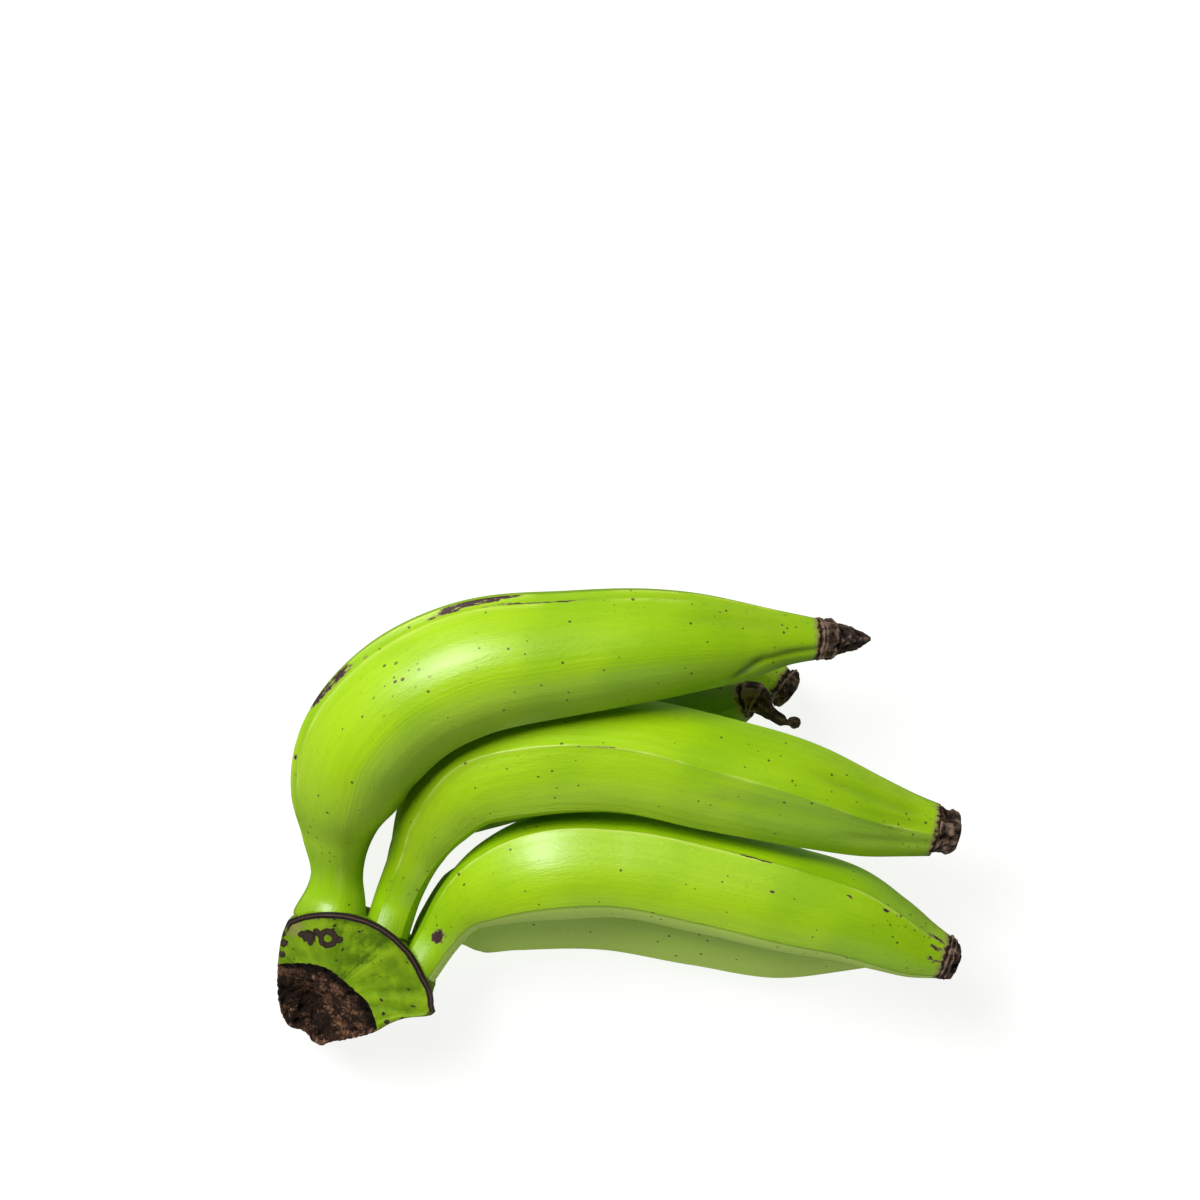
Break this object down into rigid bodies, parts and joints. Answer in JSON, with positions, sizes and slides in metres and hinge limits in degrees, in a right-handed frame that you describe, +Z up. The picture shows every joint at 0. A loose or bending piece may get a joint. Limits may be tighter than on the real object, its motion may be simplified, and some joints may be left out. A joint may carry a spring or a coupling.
{
  "type": "bunch of plantains",
  "caption": "Hand of green plantains: curved, ridged fruits in two rows on one crown, with dried flower ends, lying on its back row.",
  "frame": {"origin": "on the surface that the hand lies on, under the middle of its box", "axes": "+X from the crown towards the fruits' tips, +Y towards the outer side of the most bent fruit, +Z up from the back row to the front row"},
  "size_m": [0.25, 0.1679, 0.1182],
  "materials": {
    "green_skin": "waxy lime-green fruit skin with paler ridges, fine lengthwise streaks, small brown specks and dark scuffs on the ridges",
    "crown_skin": "olive-green crown skin with radial wrinkles, a dark scar line round the fruit bases and a dry fibrous brown cut",
    "dried_flower": "dry, dark brown, wrinkled flower remains"
  },
  "bodies": {
    "root": {"crown": "crown_skin", "plantain_front_top": "green_skin", "plantain_front_middle": "green_skin", "plantain_front_bottom": "green_skin", "plantain_back_top": "green_skin", "plantain_back_middle": "green_skin", "plantain_back_bottom": "green_skin", "flower_end_front_top": "dried_flower", "flower_end_front_middle": "dried_flower", "flower_end_front_bottom": "dried_flower", "flower_end_back_top": "dried_flower", "flower_end_back_middle": "dried_flower", "flower_end_back_bottom": "dried_flower"}
  },
  "joints": []
}
